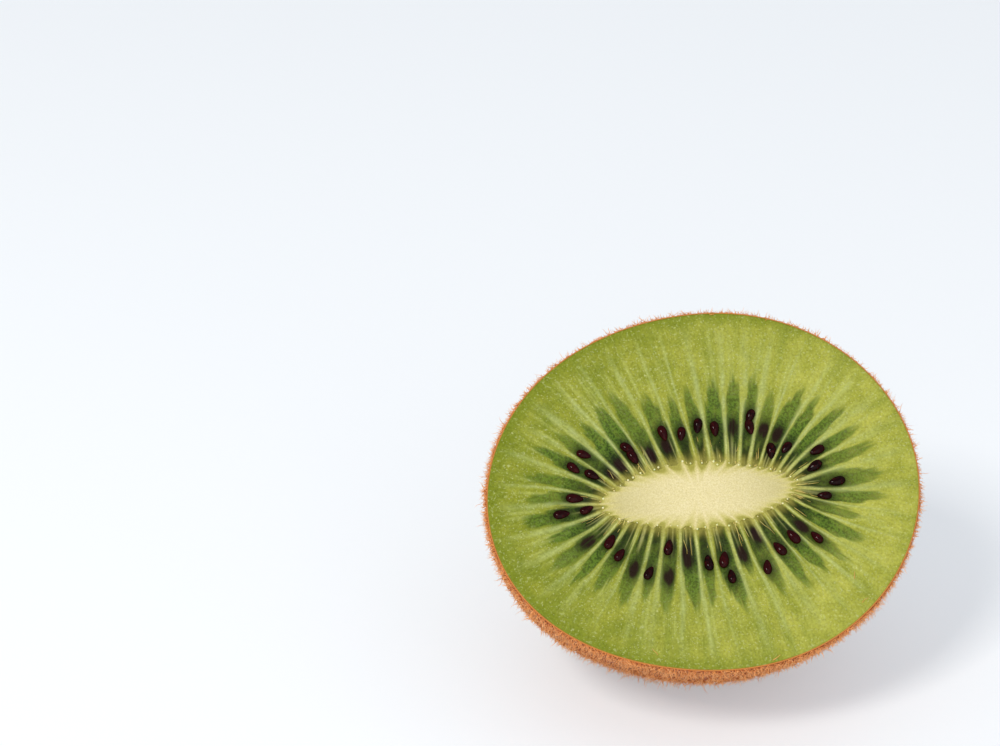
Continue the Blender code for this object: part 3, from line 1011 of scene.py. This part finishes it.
def makeBlossomEnd():
    # what is left of the flower at the knob: a ring of dried threads that curl outwards
    rng = np.random.default_rng(blossom["seed"])
    n = blossom["count"]
    turn = rng.uniform(0, 2 * np.pi, n)
    radius = blossom["ring"] * np.sqrt(rng.uniform(0.05, 1, n))
    level = fruitPoint(turn, np.full(n, 1.5), skinned=False)[:, 2]
    roots = np.stack((radius * np.cos(turn), radius * np.sin(turn), level + 0.25 * mm), -1)
    ups = np.stack((np.cos(turn), np.sin(turn), -rng.uniform(0.2, 1.2, n)), -1)
    ups[:, :2] += rng.normal(0, 0.5, (n, 2))
    return growHairs("blossomEnd", roots, ups, blossom, rng)


def driedMaterial():
    # dried flower threads: thin, papery, dark brown and matt, greyer at their tips
    material, tree = newMaterial("driedBlossomThread", {"Roughness": 0.8, "IOR": 1.45})
    tint = addNode(tree, "Attribute", give="Fac", attribute_name="tint")
    along = addNode(tree, "Attribute", give="Fac", attribute_name="along")
    colour = addNode(tree, "Mix", {0: along, 6: "#3b2418", 7: "#6d5138"}, **colourMix)
    share = addNode(tree, "Math", (tint, 0.6), operation="MULTIPLY")
    colour = addNode(tree, "Mix", {0: share, 6: colour, 7: "#2a1710"}, **colourMix)
    return finishMaterial(material, {"Base Color": colour})


def finishPiece(piece, material):
    piece.data.materials.append(material)
    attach(piece, "root")
    print(piece.name, len(piece.data.vertices), "points")
    return piece


flesh = finishPiece(makeFlesh(), fleshMaterial())
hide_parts("kiwi_half")
finishPiece(makeCore(), coreMaterial())
finishPiece(makeThreads(), threadMaterial())
finishPiece(makeCoreBeads(), beadMaterial())
finishPiece(makeSeeds(), seedMaterial())
finishPiece(makeSkin(), skinMaterial())
rustHair = hairMaterial("rustKiwiHair", "#9a4418", "#f29a54", "#c4642a")
goldHair = hairMaterial("goldenKiwiHair", "#d47a36", "#fccc98", "#f6a860")
finishPiece(makeCoat("shortHairs"), rustHair)
finishPiece(makeCoat("middleHairs"), goldHair)
finishPiece(makeCoat("longHairs"), goldHair)
finishPiece(makeFringe(), goldHair)
finishPiece(makeLooseHairs(), goldHair)
finishPiece(makeBlossomEnd(), driedMaterial())


def makeFloor():
    # a table of white acrylic that glows a little, which keeps the shadow pale
    half = 2.0             # metres from its middle to each side
    points = np.array([(-half, -half, 0), (half, -half, 0), (half, half, 0), (-half, half, 0)])
    floor = addPiece("floor", points, np.array([[0, 1, 2, 3]]))
    floor.data.materials.append(newMaterial("whiteTable", {
        "Roughness": 0.6, "Base Color": "#d0d3d6", "Emission Color": "#eff6fc", "Emission Strength": 0.36,
    })[0])


def towards(azimuth, elevation):
    # the way from the fruit to a place: degrees round from the front, then degrees up
    a, e = np.radians(azimuth), np.radians(elevation)
    return Vector((np.sin(a) * np.cos(e), -np.cos(a) * np.cos(e), np.sin(e)))


# where each lamp stands, in degrees and metres, and how wide and strong it is
lamps = dict(
    keyLamp=dict(azimuth=-42, elevation=46, distance=0.8, size=0.20, watts=3.7, colour="#fffaf2"),
    frontLamp=dict(azimuth=8, elevation=22, distance=0.9, size=0.8, watts=2.1, colour="#fffdf8"),
    fillLamp=dict(azimuth=60, elevation=40, distance=0.9, size=0.9, watts=0.7, colour="#f2f5ff"),
)


def addLamp(name, azimuth, elevation, distance, size, watts, colour):
    # a square soft lamp that looks at the fruit from the given direction
    lamp = bpy.data.lights.new(name, "AREA")
    lamp.size = size
    lamp.energy = watts
    lamp.color = toLinear(colour)[:3]
    holder = bpy.data.objects.new(name, lamp)
    holder.location = towards(azimuth, elevation) * distance + Vector((0, 0, 0.02))
    holder.rotation_euler = towards(azimuth, elevation).to_track_quat("Z", "Y").to_euler()
    bpy.context.scene.collection.objects.link(holder)


view = dict(
    lens=100, sensor=36,
    aim=(0.34 * mm, 0.42 * mm, 0.0),     # how far off the middle of the cut it aims
    stand=(-8.5, 30.5),                  # where the camera stands: degrees round and up
    distance=0.3262,                     # and metres away
    facing=(-3.64, 28.13),               # it is turned aside, so the fruit is low and right
)


def addCamera():
    camera = bpy.data.objects.new("camera", bpy.data.cameras.new("camera"))
    camera.data.lens = view["lens"]
    camera.data.sensor_width = view["sensor"]
    camera.data.clip_start = 0.01
    target = Vector(place(np.zeros(3)) - poseTurn @ np.array(view["aim"]))
    camera.location = target + towards(*view["stand"]) * view["distance"]
    camera.rotation_euler = towards(*view["facing"]).to_track_quat("Z", "Y").to_euler()
    bpy.context.scene.collection.objects.link(camera)
    bpy.context.scene.camera = camera


makeFloor()
for lampName, lampSettings in lamps.items():
    addLamp(lampName, **lampSettings)
world = bpy.data.worlds.new("studio")
bpy.context.scene.world = world
world.use_nodes = True
world.node_tree.nodes["Background"].inputs["Color"].default_value = toLinear("#f4f6fb")
world.node_tree.nodes["Background"].inputs["Strength"].default_value = 0.58
bpy.context.scene.view_settings.view_transform = "Standard"
addCamera()
print("floor, lamps and camera in place")
